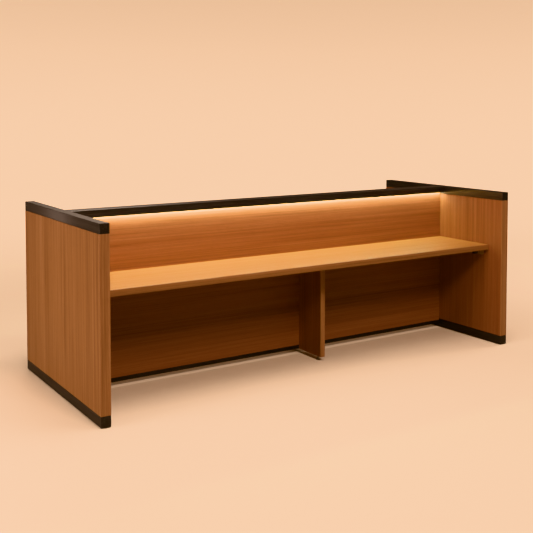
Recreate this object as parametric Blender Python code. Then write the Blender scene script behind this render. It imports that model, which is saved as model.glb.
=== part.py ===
"""Study carrel: a long back-to-back reading desk between two thick end panels.

Seen from above it is an H. The two end panels are the uprights and one centre screen is the bar.
A worktop runs along each side of the screen, a black rail caps the screen, and an LED profile
in the underside of that rail lights each worktop.

Metres, +Z up. X runs along the desk, the front is -Y, and the origin is on the floor at the middle.
"""
import math

import bmesh
import bpy

# Overall size
LENGTH = 3.180
DEPTH = 1.300
HEIGHT = 1.130
GAP = 0.0003            # clearance between pieces that touch

# End panels: two veneered skins on a grid core, edged, capped and standing on a base rail
END_THICKNESS = 0.060
SKIN_THICKNESS = 0.012
CAP_HEIGHT = 0.060
BASE_TOP = 0.068
BASE_BOTTOM = 0.004
LIPPING = 0.008
CORE_MEMBER = 0.045
CORE_WINDOWS_ALONG = 4
CORE_WINDOWS_UP = 3

# Worktops
WORKTOP_TOP = 0.730
WORKTOP_THICKNESS = 0.038
WORKTOP_SETBACK = 0.128     # from the front edge of the end panels
WORKTOP_LIPPING = 0.012
CLEAT = 0.030
CLEAT_HEIGHT = 0.040
CLEAT_SETBACK = 0.030       # behind the back of the worktop's lipping

# Centre screen, modesty panel and their rails
SCREEN_THICKNESS = 0.018
PLINTH_BOTTOM = 0.030
PLINTH_TOP = 0.058
CENTRE_RAIL_WIDTH = 0.105
CENTRE_RAIL_HEIGHT = 0.048
RAIL_EASE = 0.0025

# LED profile let into the underside of the centre rail
LED_OFFSET = 0.036          # from the centre plane to the middle of the profile
LED_GROOVE_WIDTH = 0.019
LED_GROOVE_DEPTH = 0.010
LED_WALL = 0.0012
LED_STRIP_WIDTH = 0.010
LED_STRIP_THICKNESS = 0.0012
LED_DIFFUSER_THICKNESS = 0.0016

# Support gable under each worktop, between the second and third reader
GABLE_X = 0.185
GABLE_THICKNESS = 0.036
GABLE_FRONT = 0.270         # from the centre plane to its front edge
GABLE_BOTTOM = 0.030

# Levelling feet and the threaded inserts they screw into
FOOT_PAD_RADIUS = 0.015
FOOT_PAD_THICKNESS = 0.006  # at most, where the underside leaves room
FOOT_EDGE = 0.0008
COLLAR_HEIGHT = 0.008       # collar between the pad and a high underside
COLLAR_RADIUS = 0.0076
STEM_RADIUS = 0.004
INSERT_RADIUS = 0.0065
INSERT_LENGTH = 0.030
STEM_ABOVE_INSERT = 0.012
SOCKET_CLEARANCE = 0.018    # free depth above the insert for the stem
FOOT_INSET = 0.110          # from the panel's front and rear edges
ROUND_SIDES = 20

# LED driver and its switch, both under the front worktop
DRIVER_SIZE = (0.200, 0.060, 0.030)
DRIVER_X = 1.050
DRIVER_Y = -0.085
INLET_SIZE = (0.014, 0.022, 0.016)
INLET_WALL = 0.002
INLET_SOCKET_DEPTH = 0.0098
SWITCH_SIZE = (0.034, 0.026, 0.022)
SWITCH_X = 1.420
SWITCH_INSET = 0.017        # behind the worktop's front edge
ROCKER_RADIUS = 0.008
ROCKER_WIDTH = 0.018
ROCKER_AXIS_DEPTH = 0.004   # behind the switch's front face
ROCKER_MOUTH = 40           # degrees from straight ahead to each lip of the rocker
ROCKER_TILT = 8             # degrees that the rocker leans at rest
ROCKER_VALLEY = 0.62        # of its radius, from the axis to the fold between its two flats
ROCKER_STEPS = 14

# Derived planes
HALF_LENGTH = LENGTH / 2
HALF_DEPTH = DEPTH / 2
INNER_X = HALF_LENGTH - END_THICKNESS
CAP_BOTTOM = HEIGHT - CAP_HEIGHT
WORKTOP_BOTTOM = WORKTOP_TOP - WORKTOP_THICKNESS
WORKTOP_EDGE = HALF_DEPTH - WORKTOP_SETBACK
SCREEN_FACE = SCREEN_THICKNESS / 2
RAIL_BOTTOM = HEIGHT - CENTRE_RAIL_HEIGHT

# Finishes: colour, roughness, metallic
FINISHES = {
    "panel_veneer": ((0.33, 0.125, 0.035), 0.5, 0.0),
    "panel_lipping": ((0.45, 0.19, 0.06), 0.5, 0.0),
    "screen_veneer": ((0.38, 0.15, 0.04), 0.5, 0.0),
    "worktop_veneer": ((0.52, 0.24, 0.08), 0.45, 0.0),
    "worktop_lipping": ((0.42, 0.18, 0.055), 0.45, 0.0),
    "black_timber": ((0.012, 0.011, 0.010), 0.55, 0.0),
    "core_timber": ((0.55, 0.42, 0.25), 0.8, 0.0),
    "cleat_timber": ((0.40, 0.24, 0.11), 0.7, 0.0),
    "aluminium": ((0.75, 0.75, 0.74), 0.35, 1.0),
    "zinc_steel": ((0.55, 0.55, 0.53), 0.4, 1.0),
    "diffuser": ((0.95, 0.88, 0.75), 0.4, 0.0),
    "led_board": ((0.85, 0.82, 0.70), 0.5, 0.0),
    "black_plastic": ((0.02, 0.02, 0.02), 0.45, 0.0),
}


def clear_scene():
    """Remove whatever the file starts with."""
    for scene_object in list(bpy.data.objects):
        bpy.data.objects.remove(scene_object, do_unlink=True)


def finish(slot):
    """The Principled material of one finish, made on first use."""
    existing = bpy.data.materials.get(slot)
    if existing:
        return existing
    colour, roughness, metallic = FINISHES[slot]
    material = bpy.data.materials.new(slot)
    material.use_nodes = True
    shader = material.node_tree.nodes["Principled BSDF"]
    shader.inputs["Base Color"].default_value = (*colour, 1.0)
    shader.inputs["Roughness"].default_value = roughness
    shader.inputs["Metallic"].default_value = metallic
    return material


def add_object(name, bm, location, slot):
    """Turn a bmesh into a named object at its location, with its finish."""
    bmesh.ops.recalc_face_normals(bm, faces=bm.faces)
    mesh = bpy.data.meshes.new(name)
    bm.to_mesh(mesh)
    bm.free()
    piece = bpy.data.objects.new(name, mesh)
    piece.location = location
    if slot:
        mesh.materials.append(finish(slot))
    bpy.context.scene.collection.objects.link(piece)
    return piece


def ease_edges(piece, width, segments=2):
    """Round the piece's sharp edges with a Bevel modifier."""
    bevel = piece.modifiers.new("eased_edges", "BEVEL")
    bevel.width = width
    bevel.segments = segments
    bevel.limit_method = "ANGLE"
    bevel.angle_limit = math.radians(40)


def board(name, low, high, slot, ease=0.0, segments=2):
    """A rectangular board between two opposite corners, its origin at its middle."""
    size = [high[axis] - low[axis] for axis in range(3)]
    middle = [(high[axis] + low[axis]) / 2 for axis in range(3)]
    bm = bmesh.new()
    bmesh.ops.create_cube(bm, size=1.0)
    bmesh.ops.scale(bm, vec=size, verts=bm.verts)
    piece = add_object(name, bm, middle, slot)
    if ease:
        ease_edges(piece, ease, segments)
    return piece


def spanned(low_y, high_y, side):
    """Y limits of a piece given for the front side, mirrored for the rear one."""
    return (low_y, high_y) if side < 0 else (-high_y, -low_y)


def quarter_round(y, z, radius, start):
    """Four points of a quarter circle round (y, z), from a start angle in degrees."""
    angles = [math.radians(start + 30 * step) for step in range(4)]
    return [(y + radius * math.cos(a), z + radius * math.sin(a)) for a in angles]


def extruded(name, outline, length, location, slot):
    """A (y, z) outline carried along X, centred on its location."""
    bm = bmesh.new()
    near = [bm.verts.new((-length / 2, y, z)) for y, z in outline]
    face = bm.faces.new(near)
    swept = bmesh.ops.extrude_face_region(bm, geom=[face])
    moved = [item for item in swept["geom"] if isinstance(item, bmesh.types.BMVert)]
    bmesh.ops.translate(bm, vec=(length, 0.0, 0.0), verts=moved)
    return add_object(name, bm, location, slot)


def turned(name, profile, location, slot):
    """A solid of revolution about Z from (radius, height) points, bottom to top."""
    bm = bmesh.new()
    rings = []
    for radius, height in profile:
        turn = [2 * math.pi * step / ROUND_SIDES for step in range(ROUND_SIDES)]
        rings.append([bm.verts.new((radius * math.cos(a), radius * math.sin(a), height)) for a in turn])
    for lower, upper in zip(rings, rings[1:]):
        for step in range(ROUND_SIDES):
            after = (step + 1) % ROUND_SIDES
            bm.faces.new((lower[step], lower[after], upper[after], upper[step]))
    bm.faces.new(list(reversed(rings[0])))
    bm.faces.new(rings[-1])
    piece = add_object(name, bm, location, slot)
    piece.data.shade_smooth()
    piece.data.set_sharp_from_angle(angle=math.radians(35))
    return piece


def sleeve(name, inner, outer, length, location, slot):
    """A plain tube standing on its location."""
    bm = bmesh.new()
    rings = []
    for radius, height in ((outer, 0.0), (outer, length), (inner, length), (inner, 0.0)):
        turn = [2 * math.pi * step / ROUND_SIDES for step in range(ROUND_SIDES)]
        rings.append([bm.verts.new((radius * math.cos(a), radius * math.sin(a), height)) for a in turn])
    for ring, following in zip(rings, rings[1:] + rings[:1]):
        for step in range(ROUND_SIDES):
            after = (step + 1) % ROUND_SIDES
            bm.faces.new((ring[step], ring[after], following[after], following[step]))
    return add_object(name, bm, location, slot)


def cut_with(piece, cutter):
    """Subtract a cutter from a piece."""
    cut = piece.modifiers.new("cut", "BOOLEAN")
    cut.operation = "DIFFERENCE"
    cut.solver = "EXACT"
    cut.object = cutter


def as_cutter(piece):
    """Show an object only as a wire guide."""
    piece.display_type = "WIRE"
    piece.hide_render = True
    return piece


def grid_core(name, low, high, slot):
    """A flat lattice standing in the YZ plane: members all round and between its windows."""
    def lines(start, end, windows):
        """Member edges along one direction, in order: member, window, member, ..."""
        opening = (end - start - CORE_MEMBER * (windows + 1)) / windows
        edges = [start]
        for count in range(windows):
            member_end = start + CORE_MEMBER * (count + 1) + opening * count
            edges += [member_end, member_end + opening]
        return edges + [end]

    y_lines = lines(low[1], high[1], CORE_WINDOWS_ALONG)
    z_lines = lines(low[2], high[2], CORE_WINDOWS_UP)
    middle = [(high[axis] + low[axis]) / 2 for axis in range(3)]
    bm = bmesh.new()
    grid = [[bm.verts.new((low[0] - middle[0], y - middle[1], z - middle[2])) for z in z_lines]
            for y in y_lines]
    faces = []
    for row in range(len(y_lines) - 1):
        for column in range(len(z_lines) - 1):
            if row % 2 and column % 2:
                continue
            corners = (grid[row][column], grid[row + 1][column],
                       grid[row + 1][column + 1], grid[row][column + 1])
            faces.append(bm.faces.new(corners))
    swept = bmesh.ops.extrude_face_region(bm, geom=faces)
    moved = [item for item in swept["geom"] if isinstance(item, bmesh.types.BMVert)]
    bmesh.ops.translate(bm, vec=(high[0] - low[0], 0.0, 0.0), verts=moved)
    return add_object(name, bm, middle, slot)


def foot(name, x, y, pad_thickness, collar_top, stem_top):
    """A levelling foot: a round pad on the floor, a collar if there is room, and a stem."""
    profile = [(FOOT_PAD_RADIUS - FOOT_EDGE, 0.0), (FOOT_PAD_RADIUS, FOOT_EDGE),
               (FOOT_PAD_RADIUS, pad_thickness)]
    if collar_top > pad_thickness:
        profile += [(COLLAR_RADIUS, pad_thickness), (COLLAR_RADIUS, collar_top)]
    profile += [(STEM_RADIUS, collar_top), (STEM_RADIUS, stem_top - FOOT_EDGE)]
    profile += [(STEM_RADIUS - FOOT_EDGE, stem_top)]
    return turned(name, profile, (x, y, 0.0), "zinc_steel")


def foot_places():
    """Every foot: its name, x, y, and the height of the underside it is screwed into."""
    places = []
    for end, x_sign in (("left", -1), ("right", 1)):
        for side, y_sign in (("front", -1), ("rear", 1)):
            x = x_sign * (HALF_LENGTH - END_THICKNESS / 2)
            y = y_sign * (HALF_DEPTH - FOOT_INSET)
            places.append((f"{end}_{side}", x, y, BASE_BOTTOM))
    for side, y_sign in (("front", -1), ("rear", 1)):
        y = y_sign * (GABLE_FRONT - FOOT_INSET / 2)
        places.append((f"gable_{side}", GABLE_X, y, GABLE_BOTTOM))
    return places


def make_feet():
    """Feet and threaded inserts, and one cutter that holds the socket of every insert."""
    sockets = bmesh.new()
    for label, x, y, underside in foot_places():
        pad_thickness = min(underside - 2 * GAP, FOOT_PAD_THICKNESS)
        has_collar = underside > FOOT_PAD_THICKNESS + COLLAR_HEIGHT
        collar_top = pad_thickness + COLLAR_HEIGHT if has_collar else pad_thickness
        stem_top = underside + INSERT_LENGTH + STEM_ABOVE_INSERT
        foot(f"foot_{label}", x, y, pad_thickness, collar_top, stem_top)
        sleeve(f"insert_{label}", STEM_RADIUS + GAP, INSERT_RADIUS, INSERT_LENGTH,
               (x, y, underside), "zinc_steel")
        made = bmesh.ops.create_cone(sockets, cap_ends=True, segments=ROUND_SIDES,
                                     radius1=INSERT_RADIUS + 2 * GAP, radius2=INSERT_RADIUS + 2 * GAP,
                                     depth=2 * (INSERT_LENGTH + SOCKET_CLEARANCE))
        bmesh.ops.translate(sockets, vec=(x, y, underside), verts=made["verts"])
    return as_cutter(add_object("foot_socket_cutter", sockets, (0.0, 0.0, 0.0), None))


def make_end_panel(end, x_sign, sockets):
    """One end panel: skins, core, edge lippings, cap rail and base rail."""
    def across(inner, outer):
        """X limits of a layer, measured inwards from the panel's outer face."""
        edges = (x_sign * (HALF_LENGTH - inner), x_sign * (HALF_LENGTH - outer))
        return min(edges), max(edges)

    low_z, high_z = BASE_TOP + GAP, CAP_BOTTOM - GAP
    front, rear = -HALF_DEPTH + LIPPING + GAP, HALF_DEPTH - LIPPING - GAP
    layers = (("outer_skin", 0.0, SKIN_THICKNESS),
              ("inner_skin", END_THICKNESS - SKIN_THICKNESS, END_THICKNESS))
    for layer, near, far in layers:
        x_low, x_high = across(near, far)
        board(f"{end}_{layer}", (x_low, front, low_z), (x_high, rear, high_z), "panel_veneer")
    x_low, x_high = across(SKIN_THICKNESS + GAP, END_THICKNESS - SKIN_THICKNESS - GAP)
    grid_core(f"{end}_core", (x_low, front, low_z), (x_high, rear, high_z), "core_timber")
    x_low, x_high = across(0.0, END_THICKNESS)
    for side, y_sign in (("front", -1), ("rear", 1)):
        y_low, y_high = spanned(-HALF_DEPTH, -HALF_DEPTH + LIPPING, y_sign)
        board(f"{end}_{side}_lipping", (x_low, y_low, low_z), (x_high, y_high, high_z),
              "panel_lipping", ease=0.001)
    board(f"{end}_cap_rail", (x_low, -HALF_DEPTH, CAP_BOTTOM), (x_high, HALF_DEPTH, HEIGHT),
          "black_timber", ease=0.0025)
    base = board(f"{end}_base_rail", (x_low, -HALF_DEPTH, BASE_BOTTOM), (x_high, HALF_DEPTH, BASE_TOP),
                 "black_timber", ease=0.004)
    cut_with(base, sockets)


def make_centre():
    """Screen, modesty panel, plinth strip and the black centre rail with its two LED grooves."""
    half = INNER_X - GAP
    board("modesty_panel", (-half, -SCREEN_FACE, PLINTH_TOP + GAP),
          (half, SCREEN_FACE, WORKTOP_BOTTOM - GAP), "screen_veneer")
    board("plinth_strip", (-half, -SCREEN_FACE, PLINTH_BOTTOM), (half, SCREEN_FACE, PLINTH_TOP),
          "black_timber", ease=0.001)
    board("screen_panel", (-half, -SCREEN_FACE, WORKTOP_BOTTOM), (half, SCREEN_FACE, RAIL_BOTTOM - GAP),
          "screen_veneer")
    edge = CENTRE_RAIL_WIDTH / 2
    groove_near = LED_OFFSET - LED_GROOVE_WIDTH / 2
    groove_far = LED_OFFSET + LED_GROOVE_WIDTH / 2
    depth = LED_GROOVE_DEPTH
    half_outline = [(groove_near, 0.0), (groove_near, depth), (groove_far, depth), (groove_far, 0.0)]
    for height, start in ((RAIL_EASE, -90), (CENTRE_RAIL_HEIGHT - RAIL_EASE, 0)):
        half_outline += quarter_round(edge - RAIL_EASE, height, RAIL_EASE, start)
    outline = half_outline + [(-y, z) for y, z in reversed(half_outline)]
    extruded("centre_rail", outline, 2 * half, (0.0, 0.0, RAIL_BOTTOM), "black_timber")


def make_led(side, y_sign):
    """One LED run: a channel that opens downwards, the LED board in it and the diffuser in its mouth."""
    length = 2 * (INNER_X - 2 * GAP)
    half_width = LED_GROOVE_WIDTH / 2 - GAP
    top = LED_GROOVE_DEPTH - GAP
    inside = half_width - LED_WALL
    outline = [(-half_width, 0.0), (-inside, 0.0), (-inside, top - LED_WALL), (inside, top - LED_WALL),
               (inside, 0.0), (half_width, 0.0), (half_width, top), (-half_width, top)]
    place = (0.0, y_sign * LED_OFFSET, RAIL_BOTTOM)
    extruded(f"{side}_led_channel", outline, length, place, "aluminium")
    half_length = length / 2 - GAP
    board_top = RAIL_BOTTOM + top - LED_WALL - GAP
    y_middle = place[1]
    half_strip = LED_STRIP_WIDTH / 2
    board(f"{side}_led_board", (-half_length, y_middle - half_strip, board_top - LED_STRIP_THICKNESS),
          (half_length, y_middle + half_strip, board_top), "led_board")
    reach = inside - GAP
    board(f"{side}_led_diffuser", (-half_length, y_middle - reach, RAIL_BOTTOM),
          (half_length, y_middle + reach, RAIL_BOTTOM + LED_DIFFUSER_THICKNESS), "diffuser")


def make_worktop(side, y_sign):
    """One worktop with its front lipping, the cleats at its ends and the ledgers along the screen."""
    half = INNER_X - GAP
    top, bottom = WORKTOP_TOP, WORKTOP_BOTTOM
    joint = -WORKTOP_EDGE + WORKTOP_LIPPING
    back = -SCREEN_FACE - GAP
    y_low, y_high = spanned(joint + GAP, back, y_sign)
    board(f"{side}_worktop", (-half, y_low, bottom), (half, y_high, top), "worktop_veneer")
    y_low, y_high = spanned(-WORKTOP_EDGE, joint, y_sign)
    board(f"{side}_worktop_lipping", (-half, y_low, bottom), (half, y_high, top), "worktop_lipping",
          ease=0.0015)
    cleat_top = bottom - GAP
    cleat_bottom = cleat_top - CLEAT_HEIGHT
    y_low, y_high = spanned(joint + CLEAT_SETBACK, back, y_sign)
    for end, x_sign in (("left", -1), ("right", 1)):
        edges = sorted((x_sign * half, x_sign * (half - CLEAT)))
        board(f"{side}_{end}_cleat", (edges[0], y_low, cleat_bottom), (edges[1], y_high, cleat_top),
              "cleat_timber", ease=0.002)
    y_low, y_high = spanned(back - CLEAT, back, y_sign)
    ledger_end = half - CLEAT - GAP
    gable_left = GABLE_X - GABLE_THICKNESS / 2 - GAP
    gable_right = GABLE_X + GABLE_THICKNESS / 2 + GAP
    for end, x_low, x_high in (("left", -ledger_end, gable_left), ("right", gable_right, ledger_end)):
        board(f"{side}_{end}_ledger", (x_low, y_low, cleat_bottom), (x_high, y_high, cleat_top),
              "cleat_timber", ease=0.002)


def make_gable(side, y_sign, sockets):
    """One support gable and the lipping on its front edge."""
    x_low, x_high = GABLE_X - GABLE_THICKNESS / 2, GABLE_X + GABLE_THICKNESS / 2
    z_low, z_high = GABLE_BOTTOM, WORKTOP_BOTTOM - GAP
    joint = -GABLE_FRONT + LIPPING
    y_low, y_high = spanned(joint + GAP, -SCREEN_FACE - GAP, y_sign)
    gable = board(f"{side}_gable", (x_low, y_low, z_low), (x_high, y_high, z_high), "panel_veneer")
    cut_with(gable, sockets)
    y_low, y_high = spanned(-GABLE_FRONT, joint, y_sign)
    board(f"{side}_gable_lipping", (x_low, y_low, z_low), (x_high, y_high, z_high), "panel_lipping",
          ease=0.001)


def make_driver():
    """The LED driver under the front worktop, and the socket for its lead."""
    length, width, height = DRIVER_SIZE
    top = WORKTOP_BOTTOM - GAP
    low = (DRIVER_X - length / 2, DRIVER_Y - width / 2, top - height)
    high = (DRIVER_X + length / 2, DRIVER_Y + width / 2, top)
    board("driver_case", low, high, "black_plastic", ease=0.002)
    bm = bmesh.new()
    bmesh.ops.create_cube(bm, size=1.0)
    bmesh.ops.scale(bm, vec=INLET_SIZE, verts=bm.verts)
    bm.faces.ensure_lookup_table()
    mouth = max(bm.faces, key=lambda face: face.calc_center_median().x)
    bmesh.ops.inset_region(bm, faces=[mouth], thickness=INLET_WALL)
    bmesh.ops.translate(bm, vec=(-INLET_SOCKET_DEPTH, 0.0, 0.0), verts=mouth.verts)
    place = (high[0] + GAP + INLET_SIZE[0] / 2, DRIVER_Y, top - height / 2)
    add_object("driver_inlet", bm, place, "black_plastic")


def make_switch():
    """The rocker switch under the front worktop's edge: its housing and the rocker on its axis."""
    width, depth, height = SWITCH_SIZE
    front = -WORKTOP_EDGE + SWITCH_INSET
    top = WORKTOP_BOTTOM - GAP
    axis = (SWITCH_X, front + ROCKER_AXIS_DEPTH, top - height / 2)
    housing = board("switch_housing", (SWITCH_X - width / 2, front, top - height),
                    (SWITCH_X + width / 2, front + depth, top), "black_plastic", ease=0.001)
    pocket = bmesh.new()
    bmesh.ops.create_cone(pocket, cap_ends=True, segments=32, radius1=ROCKER_RADIUS + 2 * GAP,
                          radius2=ROCKER_RADIUS + 2 * GAP, depth=ROCKER_WIDTH + 4 * GAP)
    cutter = add_object("switch_pocket_cutter", pocket, axis, None)
    cutter.rotation_euler = (0.0, math.pi / 2, 0.0)
    cut_with(housing, as_cutter(cutter))
    sweep = 360 - 2 * ROCKER_MOUTH
    outline = []
    for step in range(ROCKER_STEPS + 1):
        angle = math.radians(180 + ROCKER_MOUTH + ROCKER_TILT + sweep * step / ROCKER_STEPS)
        outline.append((ROCKER_RADIUS * math.cos(angle), ROCKER_RADIUS * math.sin(angle)))
    valley = math.radians(180 + ROCKER_TILT)
    fold = ROCKER_RADIUS * ROCKER_VALLEY
    outline.append((fold * math.cos(valley), fold * math.sin(valley)))
    extruded("switch_rocker", outline, ROCKER_WIDTH, axis, "black_plastic")


def main():
    """Build the whole carrel."""
    clear_scene()
    sockets = make_feet()
    for end, x_sign in (("left", -1), ("right", 1)):
        make_end_panel(end, x_sign, sockets)
    make_centre()
    for side, y_sign in (("front", -1), ("rear", 1)):
        make_led(side, y_sign)
        make_worktop(side, y_sign)
        make_gable(side, y_sign, sockets)
    make_driver()
    make_switch()


main()
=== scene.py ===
"""Looks of the study carrel: timber, black-stained rails, the lit screen, and the studio around it."""

import math

import bpy
import numpy as np
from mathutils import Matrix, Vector


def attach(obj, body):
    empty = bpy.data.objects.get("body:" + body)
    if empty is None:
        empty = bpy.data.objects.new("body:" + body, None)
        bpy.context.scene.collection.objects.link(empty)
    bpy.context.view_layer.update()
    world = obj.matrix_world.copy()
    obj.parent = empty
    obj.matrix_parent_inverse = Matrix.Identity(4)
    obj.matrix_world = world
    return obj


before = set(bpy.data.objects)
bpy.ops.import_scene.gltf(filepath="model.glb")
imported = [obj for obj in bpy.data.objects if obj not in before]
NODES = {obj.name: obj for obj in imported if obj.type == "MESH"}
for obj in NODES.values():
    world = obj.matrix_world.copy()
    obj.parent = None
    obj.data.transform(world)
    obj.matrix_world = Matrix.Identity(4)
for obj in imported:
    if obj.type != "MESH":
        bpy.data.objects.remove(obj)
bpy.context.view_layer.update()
ROOT = "carcass"

# Timber tones: dark, middle and pale
BROWN = ((0.165, 0.075, 0.036), (0.300, 0.149, 0.074), (0.400, 0.215, 0.118))
TEAK = ((0.174, 0.065, 0.031), (0.280, 0.113, 0.058), (0.365, 0.166, 0.092))
DESK = ((0.32, 0.146, 0.053), (0.41, 0.200, 0.077), (0.47, 0.245, 0.100))
EDGE = ((0.215, 0.100, 0.052), (0.390, 0.198, 0.106), (0.510, 0.280, 0.165))
PINE = ((0.42, 0.28, 0.14), (0.55, 0.40, 0.22), (0.62, 0.47, 0.28))
BEECH = ((0.26, 0.14, 0.06), (0.36, 0.21, 0.10), (0.44, 0.28, 0.14))
BLACK = ((0.010, 0.0105, 0.0115), (0.024, 0.025, 0.027), (0.056, 0.055, 0.056))

# Share of each pattern in a veneer's tone, and how far from the middle the tone is fully dark or pale
GROWTH_SHARE, FIGURE_SHARE, FIBRE_SHARE = 0.76, 0.14, 0.10
TONE_REACH = 0.19
PORE_DEPTH = 0.5            # how much of the dark tone a pore takes on
SEAM_WIDTH = 0.0006         # line between two veneer leaves, metres
SEAM_DEPTH = 0.5

# The strip light behind its diffuser
DIFFUSER_POWER = 24.0
DIFFUSER_GLOW = ((1.0, 0.90, 0.68), (1.0, 0.95, 0.76))
DIFFUSER_FROST = ((0.84, 0.80, 0.72), (0.92, 0.88, 0.80))

# Camera
CAMERA_PLACE = (-3.350, -5.063, 1.760)
CAMERA_TURN = (87.0, 0.0, -32.67)
CAMERA_LENS = 58.88
CAMERA_SENSOR = 36.0
CAMERA_SHIFT = -0.2149

# Studio
SWEEP_FLAT = 6.8        # radius of the flat floor
SWEEP_BEND = 4.0        # radius of the bend up to the wall
SWEEP_WALL = 2.5        # height of the wall above the bend
SWEEP_CENTRE = 0.4      # radius of the innermost ring
PAPER = (0.86, 0.735, 0.60)
PAPER_BOUNCE = (0.26, 0.22, 0.186)      # its colour for everything but the camera
PAPER_PAINTED_LIGHT = (1.0, 0.655, 0.42)         # painted light on the paper, for the camera only: it evens out the paper far from the lamps
PAINTED_LIGHT_RANGE = (1.6, 8.5)     # metres from the centre over which it fades in
PAINTED_LIGHT_HEIGHTS = (1.0, 4.6)   # and the painted light fades from its low to its high strength between these heights
PAINTED_LIGHT_LOW, PAINTED_LIGHT_HIGH = 1.05, 0.55   # strength of the painted light, low on the wall and high up: seen by the camera only, not thrown back at the desk
WARM = (1.0, 0.76, 0.60)    # colour of the soft light
SKY_STRENGTH = 0.34
GLOW = (1.0, 1.28, 0.66)    # colour of the light line under the centre rail
LAMPS = (   # name, place, aim, size, watts, colour
    ("overhead_softbox", (-0.8, -0.9, 3.2), (-0.7, -0.8, 0.0), (2.6, 1.0), 85.0, WARM),
    ("front_softbox", (-1.0, -5.6, 5.4), (0.2, 0.0, 0.5), (2.5, 1.5), 290.0, WARM),
    ("left_softbox", (-4.8, -0.45, 1.05), (-1.6, -0.05, 0.8), (1.3, 0.8), 112.0, WARM),
    ("right_softbox", (5.0, -0.6, 2.6), (1.6, 0.0, 0.4), (1.6, 1.2), 90.0, WARM),
    ("rear_softbox", (0.6, 5.4, 4.6), (0.0, 0.0, 0.6), (2.6, 1.4), 110.0, WARM),
    ("left_rear_strip", (-3.17, 4.55, 0.51), (-1.6, -0.1, 0.9), (0.12, 0.8), 0.9, (1.0, 0.70, 0.56)),
    ("glow_line_front", (0.0, -0.0165, 1.0785), (0.0, -0.0145, 0.9), (3.04, 0.005), 6.2, GLOW),
    ("glow_line_rear", (0.0, 0.0165, 1.0785), (0.0, 0.0145, 0.9), (3.04, 0.005), 6.2, GLOW),
)


# ---------------------------------------------------------------- camera

def place_camera():
    """A long lens at standing height, to the left of the desk's front."""
    camera_data = bpy.data.cameras.new("studio_camera")
    camera_data.lens = CAMERA_LENS
    camera_data.sensor_width = CAMERA_SENSOR
    camera_data.shift_y = CAMERA_SHIFT
    camera_data.clip_end = 200.0
    camera = bpy.data.objects.new("studio_camera", camera_data)
    camera.location = CAMERA_PLACE
    camera.rotation_euler = [math.radians(angle) for angle in CAMERA_TURN]
    bpy.context.scene.collection.objects.link(camera)
    bpy.context.scene.camera = camera


# ---------------------------------------------------------------- node helpers

class Recipe:
    """A material's node tree, with short calls for the nodes that timber needs."""

    def __init__(self, name):
        self.material = bpy.data.materials.new(name)
        self.material.use_nodes = True
        self.tree = self.material.node_tree
        self.shader = self.tree.nodes["Principled BSDF"]
        coordinates = self.tree.nodes.new("ShaderNodeTexCoord")
        self.place = coordinates.outputs["Object"]

    def link(self, output, target):
        self.tree.links.new(output, target)

    def node(self, kind, **settings):
        made = self.tree.nodes.new(kind)
        for key, value in settings.items():
            setattr(made, key, value)
        return made

    def stretched(self, scale):
        """Object coordinates multiplied by a scale on each axis."""
        mapping = self.node("ShaderNodeMapping")
        mapping.inputs["Scale"].default_value = scale
        self.link(self.place, mapping.inputs["Vector"])
        return mapping.outputs["Vector"]

    def noise(self, vector, detail=3.0, roughness=0.55, distortion=0.0):
        """Fractal noise, 0 to 1."""
        made = self.node("ShaderNodeTexNoise")
        made.inputs["Scale"].default_value = 1.0
        made.inputs["Detail"].default_value = detail
        made.inputs["Roughness"].default_value = roughness
        made.inputs["Distortion"].default_value = distortion
        self.link(vector, made.inputs["Vector"])
        return made.outputs["Fac"]

    def maths(self, operation, first, second=0.5, third=None):
        """One Math node; numbers or outputs for its inputs."""
        made = self.node("ShaderNodeMath", operation=operation)
        for socket, value in zip(made.inputs, (first, second, third)):
            if value is None:
                continue
            if isinstance(value, (int, float)):
                socket.default_value = value
            else:
                self.link(value, socket)
        return made.outputs[0]

    def spread(self, value, low, high, to_low=0.0, to_high=1.0):
        """Map low..high to to_low..to_high, clamped."""
        made = self.node("ShaderNodeMapRange")
        self.link(value, made.inputs["Value"])
        limits = {"From Min": low, "From Max": high, "To Min": to_low, "To Max": to_high}
        for key, number in limits.items():
            made.inputs[key].default_value = number
        return made.outputs["Result"]

    def ramp(self, value, stops):
        """A colour ramp through (position, colour) stops."""
        made = self.node("ShaderNodeValToRGB")
        elements = made.color_ramp.elements
        for index, (position, colour) in enumerate(stops):
            element = elements[index] if index < 2 else elements.new(position)
            element.position = position
            element.color = (*colour, 1.0)
        self.link(value, made.inputs["Fac"])
        return made.outputs["Color"]

    def blend(self, factor, first, second):
        """Mix two colours."""
        made = self.node("ShaderNodeMix", data_type="RGBA", blend_type="MIX")
        inputs = ((made.inputs[0], factor), (made.inputs[6], first), (made.inputs[7], second))
        for socket, value in inputs:
            if isinstance(value, (int, float)):
                socket.default_value = value
            elif isinstance(value, tuple):
                socket.default_value = (*value, 1.0)
            else:
                self.link(value, socket)
        return made.outputs[2]

    def relief(self, height, distance, strength=1.0):
        """Bump from a height, joined to the shader."""
        made = self.node("ShaderNodeBump")
        made.inputs["Distance"].default_value = distance
        made.inputs["Strength"].default_value = strength
        self.link(height, made.inputs["Height"])
        self.link(made.outputs["Normal"], self.shader.inputs["Normal"])


AXES = {"x": 0, "y": 1, "z": 2}


def grain_scale(along, across_count, along_count):
    """Stretch of a pattern: across_count cells a metre across the grain, along_count along it."""
    scale = [across_count] * 3
    scale[AXES[along]] = along_count
    return tuple(scale)


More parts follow.
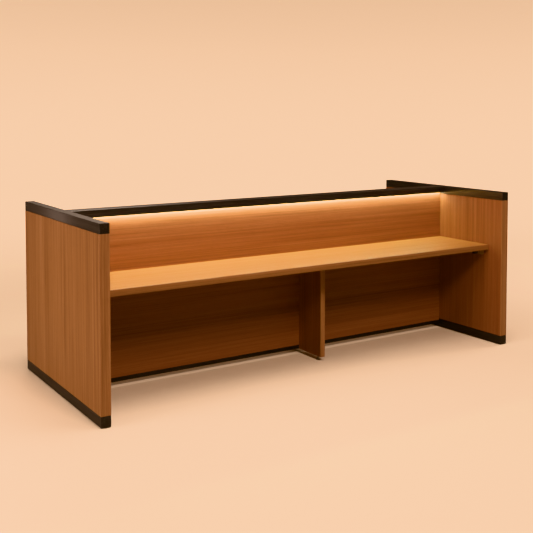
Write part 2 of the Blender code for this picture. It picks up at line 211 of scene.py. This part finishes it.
def leaf_shift(made, across, width, phase):
    """Number the veneer leaves across the grain; give each its own random tone and pattern shift."""
    parts = made.node("ShaderNodeSeparateXYZ")
    made.link(made.place, parts.inputs[0])
    count = made.maths("MULTIPLY_ADD", parts.outputs[AXES[across]], 1.0 / width, phase)
    leaf = made.maths("FLOOR", count)
    dice = made.node("ShaderNodeTexWhiteNoise", noise_dimensions="1D")
    made.link(leaf, dice.inputs["W"])
    edge = made.maths("ABSOLUTE", made.maths("SUBTRACT", made.maths("SUBTRACT", count, leaf), 0.5))
    seam = made.spread(edge, 0.5 - SEAM_WIDTH / width, 0.5)
    return dice.outputs["Value"], dice.outputs["Color"], seam


def timber(name, along, across, tones, leaf=0.16, phase=0.3, roughness=0.42, contrast=1.0,
           leaf_tone=0.06, lines=44.0):
    """Satin veneer: leaves side by side, each with straight growth lines, fine fibre and pores."""
    dark, middle, pale = tones
    made = Recipe(name)
    chance, scatter, seam = leaf_shift(made, across, leaf, phase)
    moved = made.node("ShaderNodeVectorMath", operation="MULTIPLY_ADD")
    made.link(scatter, moved.inputs[0])
    moved.inputs[1].default_value = (3.0, 3.0, 3.0)
    made.link(made.place, moved.inputs[2])
    made.place = moved.outputs[0]

    def pattern(across_count, along_count, **shape):
        return made.noise(made.stretched(grain_scale(along, across_count, along_count)), **shape)

    figure = pattern(6.0, 0.5, detail=2.0, distortion=0.3)
    growth = pattern(lines, 0.6, detail=5.0, roughness=0.78)
    fibre = pattern(420.0, 9.0, detail=3.0, roughness=0.7)
    pores = made.spread(pattern(1100.0, 22.0, detail=1.0), 0.60, 0.70)
    tone = made.maths("MULTIPLY", growth, GROWTH_SHARE)
    tone = made.maths("MULTIPLY_ADD", figure, FIGURE_SHARE, tone)
    tone = made.maths("MULTIPLY_ADD", fibre, FIBRE_SHARE, tone)
    tone = made.maths("MULTIPLY_ADD", made.maths("SUBTRACT", chance, 0.5), leaf_tone, tone)
    reach = TONE_REACH / contrast
    tone = made.spread(tone, 0.5 - reach, 0.5 + reach)
    colour = made.ramp(tone, ((0.0, dark), (1.0, pale), (0.5, middle)))
    colour = made.blend(made.maths("MULTIPLY", pores, PORE_DEPTH), colour, dark)
    colour = made.blend(made.maths("MULTIPLY", seam, SEAM_DEPTH), colour, dark)
    made.link(colour, made.shader.inputs["Base Color"])
    made.link(made.spread(growth, 0.3, 0.7, roughness + 0.05, roughness - 0.05),
              made.shader.inputs["Roughness"])
    height = made.maths("MULTIPLY_ADD", pores, -0.6, made.maths("MULTIPLY", fibre, 0.5))
    made.relief(height, 0.00025, 0.5)
    return made.material


def black_timber(name, along):
    """Black-stained open-grained timber under a thin coat: the raised grain is a little paler."""
    made = Recipe(name)
    streaks = made.noise(made.stretched(grain_scale(along, 60.0, 2.0)), detail=3.0)
    lines = made.noise(made.stretched(grain_scale(along, 320.0, 7.0)), detail=3.0, roughness=0.7)
    tone = made.maths("MULTIPLY_ADD", lines, 0.6, made.maths("MULTIPLY", streaks, 0.4))
    colour = made.ramp(made.spread(tone, 0.36, 0.66),
                       ((0.0, BLACK[0]), (1.0, BLACK[2]), (0.5, BLACK[1])))
    made.link(colour, made.shader.inputs["Base Color"])
    made.link(made.spread(lines, 0.3, 0.7, 0.30, 0.42), made.shader.inputs["Roughness"])
    made.relief(lines, 0.0005, 0.5)
    made.shader.inputs["Coat Weight"].default_value = 0.5
    made.shader.inputs["Coat Roughness"].default_value = 0.13
    return made.material


def plain(name, colour, roughness, metallic=0.0, speckle=0.1, size=900.0):
    """Moulded plastic, anodised aluminium or plated steel, with a fine texture."""
    made = Recipe(name)
    grain = made.noise(made.stretched((size, size, size)), detail=2.0)
    shade = tuple(channel * (1.0 - speckle) for channel in colour)
    made.link(made.blend(made.spread(grain, 0.35, 0.65), shade, colour),
              made.shader.inputs["Base Color"])
    made.link(made.spread(grain, 0.3, 0.7, roughness - 0.04, roughness + 0.06),
              made.shader.inputs["Roughness"])
    made.shader.inputs["Metallic"].default_value = metallic
    made.relief(grain, 0.00008, 0.4)
    return made.material


def glowing_diffuser(name):
    """Frosted diffuser lit from behind."""
    made = Recipe(name)
    frost = made.noise(made.stretched((700.0, 700.0, 700.0)), detail=2.0)
    made.link(made.blend(frost, *DIFFUSER_FROST), made.shader.inputs["Base Color"])
    made.shader.inputs["Roughness"].default_value = 0.5
    glow = made.noise(made.stretched((60.0, 260.0, 260.0)), detail=1.0)
    made.link(made.blend(glow, *DIFFUSER_GLOW), made.shader.inputs["Emission Color"])
    made.shader.inputs["Emission Strength"].default_value = DIFFUSER_POWER
    return made.material


def dress(material, *names):
    """Give CAD nodes one finish."""
    for name in names:
        node = NODES[name]
        node.data.materials.clear()
        node.data.materials.append(material)


def dress_everything():
    """Every node's finish."""
    ends = ("left", "right")
    sides = ("front", "rear")
    panel_edges = [f"{end}_{side}_lipping" for end in ends for side in sides]
    battens = [f"{side}_{end}_{kind}" for side in sides for end in ends
               for kind in ("cleat", "ledger")]
    end_rails = [f"{end}_{rail}" for end in ends for rail in ("cap_rail", "base_rail")]
    feet = [name for name in NODES if name.startswith(("foot_", "insert_"))]

    dress(timber("panel_veneer", "z", "y", BROWN), *[f"{end}_outer_skin" for end in ends])
    dress(timber("inner_veneer", "z", "y", TEAK), *[f"{end}_inner_skin" for end in ends],
          *[f"{side}_gable" for side in sides])
    dress(timber("panel_lipping", "z", "y", EDGE, leaf=2.0), *panel_edges,
          *[f"{side}_gable_lipping" for side in sides])
    dress(timber("screen_veneer", "x", "z", TEAK, leaf=0.19, phase=0.1, lines=70.0),
          "screen_panel", "modesty_panel")
    dress(timber("worktop_veneer", "x", "y", DESK, leaf=0.17, contrast=0.8, roughness=0.38,
                 leaf_tone=0.04, lines=60.0), *[f"{side}_worktop" for side in sides])
    dress(timber("worktop_lipping", "x", "y", BROWN, leaf=2.0),
          *[f"{side}_worktop_lipping" for side in sides])
    dress(black_timber("black_rail_long", "x"), "centre_rail", "plinth_strip")
    dress(black_timber("black_rail_deep", "y"), *end_rails)
    dress(timber("core_timber", "z", "y", PINE, roughness=0.7), "left_core", "right_core")
    dress(timber("cleat_timber", "x", "y", BEECH, roughness=0.6), *battens)
    dress(plain("anodised_channel", (0.72, 0.72, 0.73), 0.35, metallic=1.0),
          *[f"{side}_led_channel" for side in sides])
    dress(plain("led_board", (0.82, 0.80, 0.72), 0.5), *[f"{side}_led_board" for side in sides])
    dress(glowing_diffuser("lit_diffuser"), *[f"{side}_led_diffuser" for side in sides])
    dress(plain("zinc_plate", (0.60, 0.60, 0.57), 0.38, metallic=1.0, speckle=0.2, size=500.0),
          *feet)
    dress(plain("black_plastic", (0.018, 0.018, 0.019), 0.45),
          "driver_case", "driver_inlet", "switch_housing", "switch_rocker")


# ---------------------------------------------------------------- fittings

# Wood screws
HEAD_RADIUS = 0.0040
HEAD_PROUD = 0.0009
HEAD_SUNK = 0.0002          # how deep the rim sits in the timber
HEAD_ROUND = 0.96           # how far the dome has fallen at its rim, of its height squared
RECESS_DEPTH = 0.0008
RECESS_WIDTH = (0.00028, 0.00062)   # half width of the cross's blades: full depth, then none
RECESS_REACH = (0.0017, 0.0023)     # and their length from the middle
GOLDEN_TURN = 2.39996       # each head is turned this much from the one before, radians

# Where the battens' faces are
LEDGER_FACE = 0.0393        # from the centre plane
CLEAT_FACE = 1.4997         # from the middle of the length
BATTEN_BOTTOM = 0.6517
BATTEN_MIDDLE = 0.6717
BATTEN_HALF = 0.015
GABLE_X, GABLE_CLEAR = 0.15, 0.08   # no screw within this of the gable

# Levelling feet
THREAD_PITCH = 0.00125
THREAD_ROOT = 0.0039        # inside the stem
THREAD_CREST = 0.00032      # above the root
THREAD_STEPS = 5            # rings to a pitch
THREAD_RUNOUT = 0.001
STEM_TOP = 0.0012           # the thread stops this far under the stem's end
THREAD_START = {"gable": 0.0145, "end": 0.0045}     # height over the floor where the thread starts

# Driver
RIBS_LOW, RIBS_HIGH = (0.962, -0.109), (1.138, -0.061)
RIB_PITCH = 0.008
RIB_HEIGHT = 0.0011
RIB_SHARPNESS = 3.5
RIB_EDGE = 0.0022           # width of the rounding round the ribbed field
RIB_SUNK = 0.0002
CASE_BOTTOM = 0.6617


def tube_faces(rows, columns):
    """Faces of a closed tube, rows rings of columns points: its quads, and a lid on each end ring."""
    index = np.arange(rows * columns).reshape(rows, columns)
    after = np.roll(index, -1, axis=1)
    quads = np.stack([index[:-1], after[:-1], after[1:], index[1:]], axis=-1).reshape(-1, 4)
    return quads, [index[0, ::-1], index[-1]]


def add_piece(name, points, faces, material, body):
    """A smooth mesh of points and faces, which rides a body and takes a slot's finish."""
    mesh = bpy.data.meshes.new(name)
    mesh.from_pydata(points.reshape(-1, 3).tolist(), [], [face.tolist() for face in faces])
    mesh.shade_smooth()
    mesh.materials.append(material)
    piece = bpy.data.objects.new(name, mesh)
    bpy.context.scene.collection.objects.link(piece)
    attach(piece, body)
    return piece


def fall(value, low, high):
    """1 up to low, 0 from high, and a smooth step 1 - t^2 (3 - 2 t) between them."""
    t = np.clip((value - low) / (high - low), 0.0, 1.0)
    return 1.0 - t * t * (3.0 - 2.0 * t)


def screw_head():
    """A raised countersunk screw head with a cross recess, on a polar grid, facing +Z.

    Its dome is h(r) = H sqrt(1 - 0.96 (r/R)^2). The recess takes away a depth that is full where the
    nearer of |x| and |y| is under the blade's half width and the farther is under the blade's reach,
    and falls off by a smooth step past each. The rings run inwards from the rim, sunk in the timber."""
    rings, sectors = 15, 48
    radius = HEAD_RADIUS * np.linspace(1.0, 0.04, rings)[:, None]
    angle = np.linspace(0.0, 2.0 * np.pi, sectors + 1)[None, :-1]
    x, y = radius * np.cos(angle), radius * np.sin(angle)
    near, far = np.minimum(abs(x), abs(y)), np.maximum(abs(x), abs(y))
    recess = fall(near, *RECESS_WIDTH) * fall(far, *RECESS_REACH)
    dome = HEAD_PROUD * np.sqrt(1.0 - HEAD_ROUND * (radius / HEAD_RADIUS) ** 2)
    points = np.stack([x, y, dome - RECESS_DEPTH * recess], axis=-1)
    points[0, :, 2] = -HEAD_SUNK
    return points, *tube_faces(rings, sectors)


def screw_places():
    """Centres of the wood screws on the ledgers and cleats, and the way each head faces."""
    down = (0.0, 0.0, -1.0)
    places = []
    for side in (-1.0, 1.0):
        for x in np.arange(-1.35, 1.36, 0.30):
            if abs(x - GABLE_X) > GABLE_CLEAR:
                places.append(((x, side * LEDGER_FACE, BATTEN_MIDDLE), (0.0, side, 0.0)))
            places.append(((x + 0.11, side * (LEDGER_FACE - BATTEN_HALF), BATTEN_BOTTOM), down))
        for end in (-1.0, 1.0):
            for y in (0.12, 0.27, 0.42):
                places.append(((end * CLEAT_FACE, side * y, BATTEN_MIDDLE), (-end, 0.0, 0.0)))
                places.append(((end * (CLEAT_FACE + BATTEN_HALF), side * (y + 0.05), BATTEN_BOTTOM),
                               down))
    return np.array([place for place, _ in places]), np.array([way for _, way in places])


def screws(material):
    """Every wood screw as one piece: the head's grid turned to face out of the timber at each place.

    At a centre c that faces n, a head's point (u, v, w) goes to c + u a + v b + w n, where a is a
    direction in the face that turns from head to head, and b = n x a."""
    head, quads, lids = screw_head()
    centres, normals = screw_places()
    aside = np.where(np.abs(normals[:, 2:3]) > 0.5, [[1.0, 0.0, 0.0]], [[0.0, 0.0, 1.0]])
    across = np.cross(aside, normals)
    turn = (np.arange(len(centres)) * GOLDEN_TURN)[:, None]
    first = aside * np.cos(turn) + across * np.sin(turn)
    second = np.cross(normals, first)
    flat = head.reshape(-1, 3)
    points = (centres[:, None] + flat[None, :, 0:1] * first[:, None]
              + flat[None, :, 1:2] * second[:, None] + flat[None, :, 2:3] * normals[:, None])
    starts = np.arange(len(centres)) * len(flat)
    faces = [face + start for start in starts for face in (*quads, *lids)]
    return add_piece("wood_screws", points, faces, material, ROOT)


def foot_thread(name, low, material):
    """The rolled thread on a levelling foot's stem.

    On a grid of height z and turn t the radius is R + C w(p), where p is the fractional part of
    z/pitch - t/(2 pi) and w is a triangle wave cut off below, so the crests run round as a helix."""
    box = np.array([NODES[name].matrix_world @ Vector(corner) for corner in NODES[name].bound_box])
    centre = (box.min(axis=0) + box.max(axis=0)) / 2.0
    top = box[:, 2].max() - STEM_TOP
    z = np.arange(low, top, THREAD_PITCH / THREAD_STEPS)[:, None]
    turn = np.linspace(0.0, 2.0 * np.pi, 37)[None, :-1]
    wave = 1.0 - 2.0 * np.abs(np.mod(z / THREAD_PITCH - turn / (2.0 * np.pi), 1.0) - 0.5)
    ends = (np.clip((z - low) / THREAD_RUNOUT, 0.0, 1.0)
            * np.clip((top - z) / THREAD_RUNOUT, 0.0, 1.0))
    radius = THREAD_ROOT + THREAD_CREST * np.clip(2.2 * wave - 0.7, 0.0, 1.0) * ends
    points = np.stack([centre[0] + radius * np.cos(turn), centre[1] + radius * np.sin(turn),
                       np.broadcast_to(z, radius.shape)], axis=-1)
    label = name.replace("foot_", "")
    quads, lids = tube_faces(*radius.shape)
    return add_piece(f"thread_{label}", points, [*quads, *lids], material, f"{label}_foot")


def driver_ribs(material):
    """Cooling ribs under the driver's case.

    The underside is the height field z = base - H s(x) e(x, y): s is a rounded square wave along
    the case and e falls to nothing at the edges of the ribbed field. A flat lid closes it."""
    low, high = RIBS_LOW, RIBS_HIGH
    x = np.linspace(low[0], high[0], 353)[:, None]
    y = np.linspace(low[1], high[1], 25)[None, :]
    phase = 2.0 * np.pi * (x - low[0]) / RIB_PITCH + np.pi
    wave = 0.5 + 0.5 * np.tanh(RIB_SHARPNESS * np.cos(phase))
    margin = np.minimum(np.minimum(x - low[0], high[0] - x), np.minimum(y - low[1], high[1] - y))
    edge = np.clip(margin / RIB_EDGE, 0.0, 1.0)
    z = CASE_BOTTOM + RIB_SUNK - (RIB_SUNK + RIB_HEIGHT * wave) * np.sqrt(edge * (2.0 - edge))
    points = np.stack([x + 0.0 * y, y + 0.0 * x, z], axis=-1)
    index = np.arange(z.size).reshape(z.shape)
    quads = np.stack([index[:-1, :-1], index[:-1, 1:], index[1:, 1:], index[1:, :-1]], axis=-1)
    rim = np.concatenate([index[:-1, 0], index[-1, :-1], index[:0:-1, -1], index[0, :0:-1]])
    return add_piece("driver_ribs", points, [*quads.reshape(-1, 4), rim], material, ROOT)


def fittings():
    """Screws, threads and ribs, in finishes of their own."""
    zinc = {"metallic": 1.0, "size": 1500.0}
    screws(plain("screw_zinc", (0.66, 0.64, 0.56), 0.34, speckle=0.15, **zinc))
    steel = plain("thread_zinc", (0.60, 0.60, 0.57), 0.36, speckle=0.2, **zinc)
    for name in sorted(NODES):
        if name.startswith("foot_"):
            foot_thread(name, THREAD_START["gable" if "gable" in name else "end"], steel)
    driver_ribs(plain("driver_plastic", (0.022, 0.022, 0.023), 0.5, size=1200.0))


# ---------------------------------------------------------------- studio

def sweep_surface():
    """Paper sweep round the desk: a flat disc, a quarter circle up, then a wall, turned about Z.

    Radius and height are functions of the distance s walked outwards from the centre: on the floor
    r = s and z = 0; round the bend r = R + B sin(a), z = B (1 - cos(a)) with a = (s - R) / B; above it
    r = R + B and z grows with s."""
    around = np.linspace(0.0, 2.0 * np.pi, 129)[:-1]
    flat, bend, wall = SWEEP_FLAT, SWEEP_BEND, SWEEP_WALL
    walk = np.concatenate([np.linspace(SWEEP_CENTRE, flat, 14),
                           flat + np.linspace(0.03, 1.0, 24) * bend * np.pi / 2,
                           flat + bend * np.pi / 2 + np.linspace(0.2, 1.0, 4) * wall])
    angle = np.clip((walk - flat) / bend, 0.0, np.pi / 2)
    radius = np.minimum(walk, flat) + bend * np.sin(angle)
    height = bend * (1.0 - np.cos(angle)) + np.maximum(walk - flat - bend * np.pi / 2, 0.0)
    x = radius[:, None] * np.cos(around)[None, :]
    y = radius[:, None] * np.sin(around)[None, :]
    z = np.repeat(height[:, None], len(around), axis=1)
    points = np.concatenate([np.zeros((1, 3)), np.stack([x, y, z], axis=-1).reshape(-1, 3)])
    rows, columns = len(walk), len(around)
    index = 1 + np.arange(rows * columns).reshape(rows, columns)
    after = np.roll(index, -1, axis=1)
    quads = np.stack([index[:-1], index[1:], after[1:], after[:-1]], axis=-1).reshape(-1, 4)
    centre = np.stack([np.zeros(columns, int), index[0], after[0]], axis=-1)
    mesh = bpy.data.meshes.new("studio_sweep")
    mesh.from_pydata(points.tolist(), [], centre.tolist() + quads.tolist())
    mesh.shade_smooth()
    return mesh


def softbox(name, place, aim, size, power, colour):
    """A rectangular area light turned towards a point."""
    light = bpy.data.lights.new(name, "AREA")
    light.shape = "RECTANGLE"
    light.size, light.size_y = size
    light.energy = power
    light.color = colour
    lamp = bpy.data.objects.new(name, light)
    lamp.location = place
    lamp.visible_camera = False
    lamp.rotation_euler = (Vector(aim) - Vector(place)).to_track_quat("-Z", "Y").to_euler()
    bpy.context.scene.collection.objects.link(lamp)


def studio_paper():
    """Matt paper. The camera sees painted light on it, which evens it out far from the lamps; all else
    sees a dim bounce.
    """
    made = Recipe("studio_paper")
    made.shader.inputs["Base Color"].default_value = (*PAPER, 1.0)
    made.shader.inputs["Roughness"].default_value = 1.0
    made.shader.inputs["Specular IOR Level"].default_value = 0.0
    parts = made.node("ShaderNodeSeparateXYZ")
    made.link(made.place, parts.inputs[0])
    x, y, z = parts.outputs
    distance = made.maths("SQRT", made.maths("MULTIPLY_ADD", x, x, made.maths("MULTIPLY", y, y)))
    reach = made.spread(distance, *PAINTED_LIGHT_RANGE)
    reach.node.interpolation_type = "SMOOTHSTEP"
    fade = made.spread(z, *PAINTED_LIGHT_HEIGHTS, PAINTED_LIGHT_LOW, PAINTED_LIGHT_HIGH)
    fade.node.interpolation_type = "SMOOTHSTEP"
    # painted light: a glow on the paper for the camera only, fading in away from the centre and dimmer
    # higher up the wall
    made.shader.inputs["Emission Color"].default_value = (*PAPER_PAINTED_LIGHT, 1.0)
    made.link(made.maths("MULTIPLY", reach, fade), made.shader.inputs["Emission Strength"])
    dim = made.node("ShaderNodeBsdfDiffuse")
    dim.inputs["Color"].default_value = (*PAPER_BOUNCE, 1.0)
    rays = made.node("ShaderNodeLightPath")
    chooser = made.node("ShaderNodeMixShader")
    made.link(rays.outputs["Is Camera Ray"], chooser.inputs[0])
    made.link(dim.outputs[0], chooser.inputs[1])
    made.link(made.shader.outputs[0], chooser.inputs[2])
    made.link(chooser.outputs[0], made.tree.nodes["Material Output"].inputs["Surface"])
    return made.material


def studio():
    """Pale paper sweep, an even sky above it, and soft boxes over and round the desk."""
    mesh = sweep_surface()
    mesh.materials.append(studio_paper())
    floor = bpy.data.objects.new("studio_sweep", mesh)
    bpy.context.scene.collection.objects.link(floor)

    world = bpy.data.worlds.new("studio_sky")
    bpy.context.scene.world = world
    world.use_nodes = True
    sky = world.node_tree.nodes["Background"]
    sky.inputs["Color"].default_value = (*WARM, 1.0)
    sky.inputs["Strength"].default_value = SKY_STRENGTH
    for lamp in LAMPS:
        softbox(*lamp)


def main():
    place_camera()
    dress_everything()
    fittings()
    studio()
    bpy.context.scene.view_settings.view_transform = "Khronos PBR Neutral"


main()
